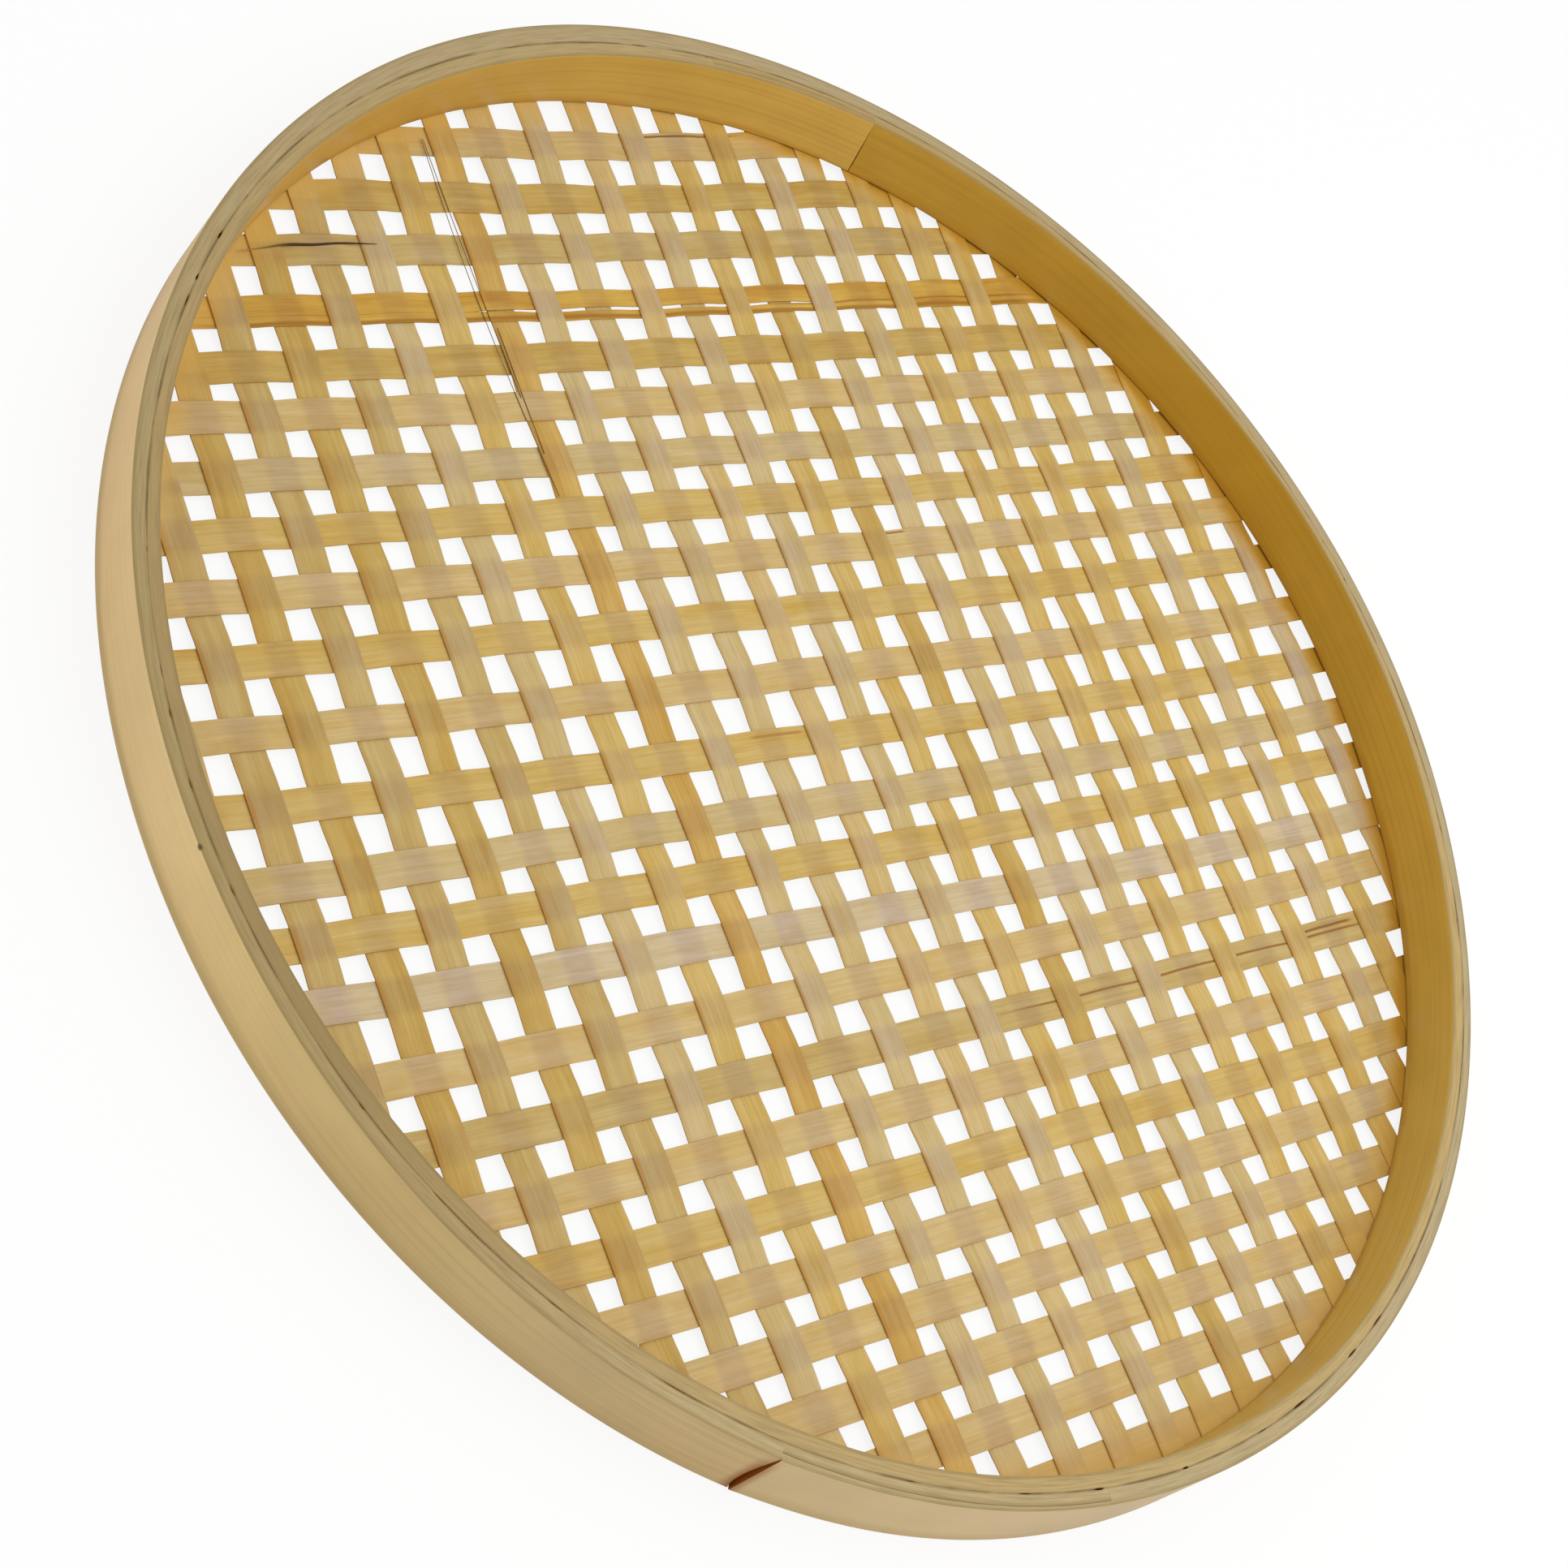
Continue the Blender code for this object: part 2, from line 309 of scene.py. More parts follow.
def split_bamboo(name, tone, warm, left_edge_and_shadow, marks=()):
    """Bamboo split with a knife and scraped, dry and matt. Its long fibres show as fine lines, its tone warms
    in long patches and duller spots, and it is painted greyer where it lies over another strip than over a
    mesh, as painted shade of the light that shines through it over a mesh. A warp's left edge is browner,
    its cut edge with a painted shadow. Each strip is painted paler and yellower near the wall, as painted
    light against the wall's shade, and dark in the channel, as painted shade with dirt.
    marks are (start, end, middle across, half width, colour): single splits and brown lines of a strip."""
    material = bpy.data.materials.new(name)
    material.use_nodes = True
    tree = material.node_tree
    surface = tree.nodes["Principled BSDF"]
    grain = add(tree, "UVMap", uv_map="grain")[0]
    run = add(tree, "UVMap", uv_map="run")[0]
    over = add(tree, "SeparateXYZ", {0: add(tree, "UVMap", uv_map="over")[0]})[0]
    along, across, _ = add(tree, "SeparateXYZ", {0: run})
    # The fibres. Real ones are half as far apart, too fine to show in the render.
    fibre_length = 30 * mm
    fibre_width = 0.8 * mm
    fibre_place = add(tree, "Mapping", {"Vector": grain, "Scale": (1 / fibre_length, 1 / fibre_width, 1)})[0]
    fibres = add(tree, "TexNoise", {"Vector": fibre_place, "Scale": 1, "Detail": 4, "Roughness": 0.65})[0]
    # Long patches of a warmer tone.
    patch_length = 35 * mm
    patch_width = 5 * mm
    patch_place = add(tree, "Mapping", {"Vector": grain, "Scale": (1 / patch_length, 1 / patch_width, 1)})[0]
    patches = add(tree, "TexNoise", {"Vector": patch_place, "Scale": 1, "Detail": 2})[0]
    warmth = add(tree, "MapRange", {"Value": patches, 1: 0.38, 2: 0.66, 3: 0, 4: 0.8})[0]
    colour = add(tree, "MixRGB", {0: warmth, 1: linear(tone), 2: linear(warm)})[0]
    # Short, duller spots, and every fibre a little lighter or darker than the next.
    spot_length = 7 * mm
    spot_width = 3 * mm
    spot_place = add(tree, "Mapping", {"Vector": grain, "Scale": (1 / spot_length, 1 / spot_width, 1)})[0]
    spots = add(tree, "TexNoise", {"Vector": spot_place, "Scale": 1, "Detail": 2})[0]
    spotted = add(tree, "MapRange", {"Value": spots, 1: 0.42, 2: 0.68, 3: 0, 4: 0.4})[0]
    colour = add(tree, "MixRGB", {0: spotted, 1: colour, 2: linear("#F1E8C6")}, blend_type="MULTIPLY")[0]
    lightness = add(tree, "MapRange", {"Value": fibres, 1: 0.3, 2: 0.7, 3: 0.84, 4: 1.06})[0]
    colour = add(tree, "VectorMath", {0: colour, "Scale": lightness}, operation="SCALE")[0]
    # Duller and a little pinker where it lies over another strip: painted shade, since light shines through a
    # strip over a mesh but not over another strip.
    colour = add(tree, "MixRGB", {0: over, 1: colour, 2: linear("#EFECFD")}, blend_type="MULTIPLY")[0]
    # The brown left edge of a warp, faint on a weft: its brown cut edge and a painted shadow that it casts,
    # which shows most against the strip below it.
    line_from = -2.9 * mm
    line_full = -3.8 * mm
    shown = add(tree, "MapRange", {"Value": over, 3: 0.35 * left_edge_and_shadow, 4: left_edge_and_shadow})[0]
    left = add(tree, "MapRange", {"Value": across, 1: line_from, 2: line_full})[0]
    left = add(tree, "Math", {0: left, 1: shown}, operation="MULTIPLY")[0]
    colour = add(tree, "MixRGB", {0: left, 1: colour, 2: linear("#A8741A")})[0]
    # Each mark fades out along the run, and bends a little with the patches.
    mark_bend = 0.7 * mm
    for start, end, middle, half, mark in marks:
        from_centre = add(tree, "Math", {0: along, 1: (start + end) / 2}, operation="SUBTRACT")[0]
        from_centre = add(tree, "Math", {0: from_centre}, operation="ABSOLUTE")[0]
        reach = (end - start) / 2
        inside = add(tree, "MapRange", {"Value": from_centre, 1: reach, 2: reach * 0.75})[0]
        bent = add(tree, "MapRange", {"Value": patches, 3: middle - mark_bend, 4: middle + mark_bend})[0]
        away = add(tree, "Math", {0: across, 1: bent}, operation="SUBTRACT")[0]
        away = add(tree, "Math", {0: away}, operation="ABSOLUTE")[0]
        near = add(tree, "MapRange", {"Value": away, 1: half, 2: half * 0.3, 3: 0, 4: 0.9})[0]
        share = add(tree, "Math", {0: inside, 1: near}, operation="MULTIPLY")[0]
        colour = add(tree, "MixRGB", {0: share, 1: colour, 2: linear(mark)})[0]
    # Paler and yellower towards the wall: painted light, which lifts the shade that the wall casts on the
    # strips.
    wall_fill_light_from = wall_radius - 10 * mm
    wall_fill_light_full = wall_radius + 1 * mm
    place = add(tree, "TexCoord")["Object"]
    flat = add(tree, "VectorMath", {0: place, 1: (1, 1, 0)}, operation="MULTIPLY")[0]
    out = add(tree, "VectorMath", {0: flat}, operation="LENGTH")["Value"]
    wall_fill_light = add(tree, "MapRange", {"Value": out, 1: wall_fill_light_from, 2: wall_fill_light_full, 4: 0.8})[0]
    colour = add(tree, "MixRGB", {0: wall_fill_light, 1: colour, 2: linear("#E2B65C")})[0]
    # Sap has dried amber along the wall's foot on the right side of the tray, in a band of ragged width.
    stain_from = wall_radius - 6 * mm
    stain_full = wall_radius - 1.5 * mm
    stain_angle = math.radians(17)
    stained_side = (math.cos(stain_angle) / wall_radius, math.sin(stain_angle) / wall_radius, 0)
    side = add(tree, "VectorMath", {0: flat, 1: stained_side}, operation="DOT_PRODUCT")["Value"]
    most = add(tree, "MapRange", {"Value": side, 1: 0.36, 2: 0.55, 4: 0.85})[0]
    ragged = add(tree, "MapRange", {"Value": patches, 1: 0.3, 2: 0.7, 3: -1 * mm, 4: 1.5 * mm})[0]
    ragged = add(tree, "Math", {0: out, 1: ragged}, operation="ADD")[0]
    stain = add(tree, "MapRange", {"Value": ragged, 1: stain_from, 2: stain_full, 4: most})[0]
    colour = add(tree, "MixRGB", {0: stain, 1: colour, 2: linear("#BE8A18")})[0]
    # Dark on the upper part of each turned-up end, in the channel between the hoops: painted shade of the
    # deep, narrow channel, with dirt.
    dirt_and_shade_from = 10 * mm
    dirt_and_shade_full = 15 * mm
    height = add(tree, "SeparateXYZ", {0: place})[2]
    dirt_and_shade = add(tree, "MapRange", {"Value": height, 1: dirt_and_shade_from, 2: dirt_and_shade_full})[0]
    colour = add(tree, "MixRGB", {0: dirt_and_shade, 1: colour, 2: linear("#1C130A")})[0]
    tree.links.new(colour, surface.inputs["Base Color"])
    fibre_relief = 0.05 * mm
    bump = add(tree, "Bump", {"Height": fibres, "Strength": 0.4, "Distance": fibre_relief})[0]
    tree.links.new(bump, surface.inputs["Normal"])
    roughness = add(tree, "MapRange", {"Value": fibres, 3: 0.55, 4: 0.7})[0]
    tree.links.new(roughness, surface.inputs["Roughness"])
    surface.inputs["Specular IOR Level"].default_value = 0.3
    return material


# Strips from different culms and layers. Each tone has the warmer one that its patches turn to.
tones = {
    "tan": ("#CEB37A", "#CAA965"),
    "straw": ("#CEB06A", "#C6A24C"),
    "gold": ("#C6A75C", "#BC9644"),
    "amber": ("#D0A848", "#BA8428"),
    "grey tan": ("#CBB380", "#C5AB6C"),
    "pinkish grey": ("#CCB892", "#C6AF80"),
    "orange brown": ("#CDA85C", "#BE923C"),
    "brown tan": ("#C5AB6E", "#BC9C56"),
}
# From the near side to the far side, and from left to right.
strip_tones = {
    "weft": ["tan", "tan", "tan", "tan", "tan", "straw", "tan", "brown tan",
             "tan", "pinkish grey", "straw", "grey tan", "straw", "tan", "straw", "tan",
             "straw", "grey tan", "tan", "gold", "amber", "brown tan", "gold", "tan"],
    "warp": ["brown tan", "brown tan", "gold", "brown tan", "gold", "brown tan", "grey tan", "straw",
             "orange brown", "grey tan", "grey tan", "tan", "grey tan", "straw", "gold", "grey tan",
             "grey tan", "straw", "straw", "straw", "straw", "grey tan", "straw", "pinkish grey"],
}
# Strips with splits or brown lines of their own, in the way that split_bamboo takes them.
strip_marks = {
    ("weft", 8): [(6 * mm, 172 * mm, 0.3 * mm, 0.5 * mm, "#8A5618"),
                  (128 * mm, 156 * mm, 1.9 * mm, 0.6 * mm, "#844E12")],
    ("weft", 13): [(-33 * mm, -14 * mm, 2.2 * mm, 0.6 * mm, "#A8792E")],
    ("weft", 16): [(36 * mm, 48 * mm, 3.2 * mm, 0.35 * mm, "#8A5A1C")],
    ("weft", 21): [(-175 * mm, 175 * mm, -3.6 * mm, 0.9 * mm, "#9C6A14"),
                   (-70 * mm, 160 * mm, -1.5 * mm, 0.5 * mm, "#A87420")],
    ("weft", 24): [(4 * mm, 50 * mm, 3.6 * mm, 0.5 * mm, "#7E5218")],
}
strip_materials = {}


def strip_material(kind, number):
    """The material of a strip's tone, or its own where it carries marks."""
    tone = strip_tones[kind][number - 1]
    marks = strip_marks.get((kind, number), ())
    name = f"split_bamboo_{tone.replace(' ', '_')}_{kind}" + (f"_{number:02d}" if marks else "")
    if name not in strip_materials:
        # How strong the brown cut edge and painted shadow along a strip's left edge are.
        left_edge_and_shadow = 0.65 if kind == "warp" else 0.15
        strip_materials[name] = split_bamboo(name, *tones[tone], left_edge_and_shadow, marks)
    return strip_materials[name]


# Weft 21 has split along one fibre, and the split stands open over the middle of its run.
split_weft = ("weft", 21)
split_across = -1.4 * mm
split_open = 1.0 * mm
split_closed = 0.03 * mm
split_middle = -7 * mm
split_reach = 58 * mm


def strip_parts(kind, number):
    """The edges of a strip, or of its two halves where it is split, each as a function of the run."""
    half = lines[kind, number][1]
    low_play, high_play = side_wander[kind, number]

    def low(run):
        return -half + float(low_play(run))

    def high(run):
        return half + float(high_play(run))

    def gap(run):
        share = max(0, 1 - ((run - split_middle) / split_reach) ** 2)
        return (split_closed + split_open * math.sqrt(share)) / 2

    if (kind, number) == split_weft:
        return [lambda run: (low(run), split_across - gap(run)),
                lambda run: (split_across + gap(run), high(run))]
    return [lambda run: (low(run), high(run))]


for kind in kinds:
    for number in numbers:
        sweeps = [strip_sweep(kind, number, edges) for edges in strip_parts(kind, number)]
        grain_start = 30 if kind == "warp" else 0
        grain_offset = (0.9 * number + grain_start, 0.05 * number)
        strip = sweep_mesh(f"split_{kind}_{number:02d}", sweeps, grain_offset)
        strip.data.materials.append(strip_material(kind, number))
        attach(strip, "root")
        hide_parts(node_name(kind, number))

# The outer hoop: a bamboo lath on edge, bent into a ring and lapped on itself, with its skin side out.
# Its outer end shows as an upright slit at the front, which the tool that cut it has singed brown, with
# painted shade where the lath curves in behind its end.
# The upper edge was planed level with the inner hoop's, which left it grey, and closes over the channel.
hoop_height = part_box("outer_hoop")[1].z
hoop_edge_round = 0.3 * mm
corner_share = 0.3
outer_thickness = 2.6 * mm
outer_end_angle = 234.75
outer_slit = 1.6 * mm
wide_slit = 1 * mm
end_flare = 0.35 * mm
flare_length = 7 * mm
slant_turn = math.radians(5)
butt_gap = 0.03 * mm
# A cut face's place in the UV map is this far before the start of the run, or past its end.
cut_step = 4 * mm
hoop_step = math.radians(0.25)
face_rows = 11

# Over the channel both hoops' upper edges reach out in a lip, and the two meet in a seam. A lip's heights
# are how far below the top its front ends, its ledge ends, and its underside meets the hidden side.
rim_width = 3.84 * mm
seam_radius = tray_radius - rim_width
seam_half_gap = 0.01 * mm
seam_round = 0.06 * mm
ledge = 0.5 * mm
outer_lip_heights = (1.0 * mm, 1.3 * mm, 1.8 * mm)
inner_lip_heights = (0.75 * mm, 0.8 * mm, 0.95 * mm)

# Small gaps that show as specks along the seam: (degrees, half length, depth) each.
hoop_random = random.Random(5)
specks = []
speck_angle = 0
while speck_angle < 360:
    half_length = hoop_random.uniform(0.5, 2.8) * mm
    specks.append((speck_angle, half_length, hoop_random.choice((0.06, 0.1, 0.15, 0.28)) * mm))
    speck_angle += hoop_random.choice((2.5, 4, 7, 10)) * hoop_random.uniform(0.8, 1.2)


def degrees_between(angle, centre):
    """Degrees from a centre to an angle in radians, the short way round."""
    return (math.degrees(angle) - centre + 180) % 360 - 180


def speck_depth(angle):
    """How far the seam between the two rims opens at an angle: a short lens at each speck."""
    depth = 0
    for centre, half_length, most in specks:
        away = abs(math.radians(degrees_between(angle, centre))) * seam_radius
        if away < half_length:
            depth = max(depth, most * math.sqrt(1 - (away / half_length) ** 2))
    return depth


def swell(swells, angle):
    """How far a lath stands off its circle: swells are (degrees, width in degrees, millimetres outwards)."""
    return sum(amount * mm * math.exp(-(degrees_between(angle, centre) / width) ** 2)
               for centre, width, amount in swells)


def lens(share):
    """The opening of a slit at a share of its height: widest a third of the way up, closed at the top."""
    share = min(max(share, 0), 1)
    return math.sin(math.pi * share ** 0.7) + 0.12 * (1 - share)


def bend_lath(name, face, back, bottom, end_angle, slit, slant, lap, foot_swells, top_swells):
    """A lath bent round once, swept along its run from the end that shows, at end_angle in degrees. face
    and back are the radii of its seen and hidden side, slit the width of the gap at its end, and slant how
    far that gap leans. lap is its length, the end's thickness where it starts and where it stops, and the
    seam behind it."""
    # hidden is 1 where the hidden side is the outer one, and -1 where it is the inner one.
    hidden = 1 if back > face else -1
    lip = seam_radius - hidden * seam_half_gap
    lap_length, end_thickness, last_thickness, lap_seam = lap
    full_turn = 2 * math.pi
    lap_turn = lap_length / tray_radius
    lip_heights = outer_lip_heights if hidden < 0 else inner_lip_heights
    rows = [bottom + hoop_edge_round + (hoop_height - bottom - 2 * hoop_edge_round) * row / (face_rows - 1)
            for row in range(face_rows)]

    def ring(turn, depth, far, lips):
        """Points up the seen side, over the top and down the hidden side, as (radius, height, girth). depth
        is how far they start behind the seen face, far the hidden side's radius, and lips the lip's."""
        angle = math.radians(end_angle) + turn
        foot, top = swell(foot_swells, angle), swell(top_swells, angle)

        def bulge(height):
            return foot + (top - foot) * height / hoop_height

        def near(height):
            return face + bulge(height) + hidden * depth

        def behind(height):
            """The hidden side follows every bulge over the lap, else those that lead away from the strips."""
            return far + (bulge(height) if lips != lip or bulge(height) * hidden < 0 else 0)

        lipped = lips - hidden * speck_depth(angle) if lips == lip else lips + bulge(hoop_height)
        shelf = lip + ledge * hidden if lips == lip and hidden < 0 else lipped
        on_top = near(hoop_height)
        corner = hoop_edge_round * corner_share
        profile = [(near(row), row, row) for row in rows]
        profile += [(on_top + hidden * corner, hoop_height - corner, hoop_height),
                    (on_top + hidden * hoop_edge_round, hoop_height, hoop_height + hoop_edge_round)]
        top_end = hoop_height + abs(lipped - on_top)
        profile += [(lipped - hidden * seam_round, hoop_height, top_end),
                    (lipped, hoop_height - seam_round, top_end),
                    (lipped, hoop_height - lip_heights[0], top_end),
                    (shelf, hoop_height - lip_heights[0], top_end),
                    (shelf, hoop_height - lip_heights[1], top_end),
                    (behind(hoop_height - lip_heights[2]), hoop_height - lip_heights[2], top_end)]
        profile += [(behind(bottom), bottom + hoop_edge_round, bottom),
                    (behind(bottom) - hidden * hoop_edge_round, bottom, bottom),
                    (near(bottom) + hidden * hoop_edge_round, bottom, bottom)]
        return profile

    def end_depth(turn):
        """Thickness of the lath's seen end over the lap."""
        return end_thickness + (last_thickness - end_thickness) * turn / lap_turn

    def over_lap(turn, cut):
        """A station of the seen end, which stands off a little where its slit is wide."""
        far = face + hidden * end_depth(turn)
        flare = end_flare * math.exp(-turn * tray_radius / flare_length) if slit > wide_slit else 0
        return (turn, ring(turn, -flare, far, far), False, -cut_step if cut else 0)

    steps = int(lap_turn / hoop_step)
    butt = butt_gap / tray_radius
    # Stations are (turn, profile, whether the slit is cut there, how far its place in the UV map is moved).
    stations = [over_lap(0, True)]
    stations += [over_lap(max(step * hoop_step, butt), False) for step in range(steps + 1)]
    stations += [over_lap(lap_turn, False)]
    before_slit = slit + 1 * mm
    last_step = int((full_turn - before_slit / tray_radius) / hoop_step)
    for turn in [lap_turn + butt] + [step * hoop_step for step in range(steps + 2, last_step)]:
        stations.append((turn, ring(turn, 0, back, lip), False, 0))
    stations.append((full_turn, ring(full_turn, 0, back, lip), True, 0))
    for step in list(range(steps + 1)) + [(lap_turn - butt) / hoop_step]:
        depth = end_depth(step * hoop_step) + lap_seam * (1 - 0.8 * step * hoop_step / lap_turn)
        stations.append((full_turn + step * hoop_step, ring(full_turn + step * hoop_step, depth, back, lip),
                         step == 0, cut_step))
    rings, runs = [], []
    for turn, profile, at_gap, cut in stations:
        from_end = min(turn, abs(turn - full_turn))
        lean = slant / tray_radius * max(0, 1 - from_end / slant_turn)
        ring_points, places = [], []
        for radius, height, girth in profile:
            gap = slit * lens(height / hoop_height) / tray_radius if at_gap else 0
            shift = lean * height / hoop_height - gap
            angle = math.radians(end_angle) + turn + shift
            ring_points.append((radius * math.cos(angle), radius * math.sin(angle), height))
            places.append((turn * tray_radius + cut, girth))
        rings.append(ring_points)
        runs.append(places)
    rings, runs = np.array(rings), np.array(runs)
    if hidden < 0:
        rings, runs = rings[:, ::-1], runs[:, ::-1]
    return sweep_mesh(name, [(rings, runs)])


def tone_ramp(tree, share, stops):
    """A colour that changes slowly along a lath; stops are (share of the run, colour)."""
    ramp = tree.nodes.new("ShaderNodeValToRGB")
    elements = ramp.color_ramp.elements
    elements.remove(elements[1])
    elements[0].position = stops[0][0]
    elements[0].color = linear(stops[0][1])
    for position, tone in stops[1:]:
        elements.new(position).color = linear(tone)
    tree.links.new(share, ramp.inputs[0])
    return ramp.outputs[0]


def planed_lath(name, face_tones, streak, streak_shares, top_tones, foot_tone, notch=None):
    """A lath split from a thick culm, planed and bent. Its seen side is satin, with long streaks and slow
    changes of tone, and on the outer lath a stretch of painted light; its upper edge is planed across the
    fibres, greyer, duller and streaked. The foot is stained where the damp sheet touches it. streak_shares
    are how streaked the lath is at first and at last, and the shares of the run between which that changes;
    notch is the place on the run of a nick, painted as a dark spot of shade."""
    material = bpy.data.materials.new(name)
    material.use_nodes = True
    tree = material.node_tree
    surface = tree.nodes["Principled BSDF"]
    run = add(tree, "UVMap", uv_map="run")[0]
    place = add(tree, "TexCoord")["Object"]
    along, girth, _ = add(tree, "SeparateXYZ", {0: run})
    whole_run = 2 * math.pi * tray_radius
    share = add(tree, "Math", {0: along, 1: whole_run}, operation="DIVIDE")[0]
    # The patterns: long streaks, fine fibres that are only in the relief, and blotches for slow changes.
    streak_length = 110 * mm
    streak_width = 1.2 * mm
    fibre_length = 20 * mm
    fibre_width = 0.5 * mm
    blotch_size = 20 * mm
    streak_place = add(tree, "Mapping", {"Vector": run, "Scale": (1 / streak_length, 1 / streak_width, 1)})[0]
    streaks = add(tree, "TexNoise", {"Vector": streak_place, "Scale": 1, "Detail": 3})[0]
    fibre_place = add(tree, "Mapping", {"Vector": run, "Scale": (1 / fibre_length, 1 / fibre_width, 1)})[0]
    fibres = add(tree, "TexNoise", {"Vector": fibre_place, "Scale": 1, "Detail": 3})[0]
    blotches = add(tree, "TexNoise", {"Vector": place, "Scale": 1 / blotch_size, "Detail": 3})[0]
    low_share, high_share, from_share, to_share = streak_shares
    most = add(tree, "MapRange", {"Value": share, 1: from_share, 2: to_share, 3: low_share, 4: high_share})[0]
    streaked = add(tree, "MapRange", {"Value": streaks, 1: 0.45, 2: 0.75, 4: most})[0]
    colour = add(tree, "MixRGB", {0: streaked, 1: tone_ramp(tree, share, face_tones), 2: linear(streak)})[0]
    # The stained foot, up to a ragged edge.
    foot_full = 2 * mm
    foot_least = 3 * mm
    foot_most = 6 * mm
    height = add(tree, "SeparateXYZ", {0: place})[2]
    ragged = add(tree, "MapRange", {"Value": blotches, 1: 0.3, 2: 0.7, 3: foot_least, 4: foot_most})[0]
    foot = add(tree, "MapRange", {"Value": height, 1: ragged, 2: foot_full, 4: 0.7})[0]
    colour = add(tree, "MixRGB", {0: foot, 1: colour, 2: linear(foot_tone)})[0]
    blotched = add(tree, "MapRange", {"Value": blotches, 1: 0.3, 2: 0.7, 3: 0.95, 4: 1.05})[0]
    colour = add(tree, "VectorMath", {0: colour, "Scale": blotched}, operation="SCALE")[0]
    # Both sides of the end's slit are brown, less near the top: singed on the end's own edge, and where the
    # lath goes in behind its own end, singed with painted shade of the slit over it. Each band is (where it
    # starts, where it is brownest, how brown).
    if notch:
        singe_and_shade_full = hoop_height - 6 * mm
        below_top = add(tree, "MapRange", {"Value": height, 1: hoop_height, 2: singe_and_shade_full})[0]
        goes_in = (whole_run - 4 * mm, whole_run - 0.6 * mm, 0.9)
        end_edge = (2.2 * mm, 0.4 * mm, 0.7)
        for start, full, most in (goes_in, end_edge):
            singe_and_shade = add(tree, "MapRange", {"Value": along, 1: start, 2: full, 4: most})[0]
            singe_and_shade = add(tree, "Math", {0: singe_and_shade, 1: below_top}, operation="MULTIPLY")[0]
            colour = add(tree, "MixRGB", {0: singe_and_shade, 1: colour, 2: linear("#92581E")})[0]
    # The cut faces are brown: the end's own, and the step inwards beside it with what shows behind the slit.
    shows_to = whole_run + cut_step + 3 * mm
    hidden_from = whole_run + cut_step + 5 * mm
    behind_slit = add(tree, "MapRange", {"Value": along, 1: hidden_from, 2: shows_to})[0]
    start_cut = add(tree, "MapRange", {"Value": along, 1: -0.5 * mm, 2: -2 * mm})[0]
    end_cut = add(tree, "MapRange", {"Value": along, 1: whole_run + 0.3 * mm, 2: whole_run + 1.5 * mm,
                                     4: behind_slit})[0]
    for cut in (start_cut, end_cut):
        colour = add(tree, "MixRGB", {0: cut, 1: colour, 2: linear("#96500E")})[0]
    # The planed top: short streaks, and a darker line along the lath's corner.
    cut_length = 12 * mm
    cut_width = 0.55 * mm
    corner_full = hoop_height + 0.4 * mm
    corner_to = hoop_height + 1.1 * mm
    top_place = add(tree, "Mapping", {"Vector": run, "Scale": (1 / cut_length, 1 / cut_width, 1)})[0]
    top_streaks = add(tree, "TexNoise", {"Vector": top_place, "Scale": 1, "Detail": 3, "Roughness": 0.6})[0]
    top_dark = add(tree, "MapRange", {"Value": top_streaks, 1: 0.42, 2: 0.7, 4: 0.55})[0]
    top = add(tree, "MixRGB", {0: top_dark, 1: tone_ramp(tree, share, top_tones), 2: linear("#86734A")})[0]
    corner = add(tree, "MapRange", {"Value": girth, 1: corner_to, 2: corner_full, 4: 0.4})[0]
    top = add(tree, "MixRGB", {0: corner, 1: top, 2: linear("#84703C")})[0]
    # Dirt along the seam between the two hoops, in stretches.
    dirt_and_shade_full = 0.1 * mm
    dirt_to = 0.5 * mm
    flat = add(tree, "VectorMath", {0: place, 1: (1, 1, 0)}, operation="MULTIPLY")[0]
    out = add(tree, "VectorMath", {0: flat}, operation="LENGTH")["Value"]
    beside = add(tree, "Math", {0: out, 1: seam_radius}, operation="SUBTRACT")[0]
    beside = add(tree, "Math", {0: beside}, operation="ABSOLUTE")[0]
    dirty = add(tree, "MapRange", {"Value": blotches, 1: 0.42, 2: 0.58, 3: 0.1, 4: 0.8})[0]
    dirt_and_shade = add(tree, "MapRange", {"Value": beside, 1: dirt_to, 2: dirt_and_shade_full, 4: dirty})[0]
    top = add(tree, "MixRGB", {0: dirt_and_shade, 1: top, 2: linear("#6B5A32")})[0]
    # Below the rim's own surface, in the gaps of the seam, it is dark: painted shade of the narrow gaps, with
    # dirt.
    deep_from = hoop_height - 0.3 * mm
    deep_full = hoop_height - 0.6 * mm
    deep = add(tree, "MapRange", {"Value": height, 1: deep_from, 2: deep_full})[0]
    top = add(tree, "MixRGB", {0: deep, 1: top, 2: linear("#38280F")})[0]
    up = add(tree, "SeparateXYZ", {0: add(tree, "NewGeometry")["Normal"]})[2]
    on_top = add(tree, "MapRange", {"Value": up, 1: 0.3, 2: 0.6})[0]
    colour = add(tree, "MixRGB", {0: on_top, 1: colour, 2: top})[0]
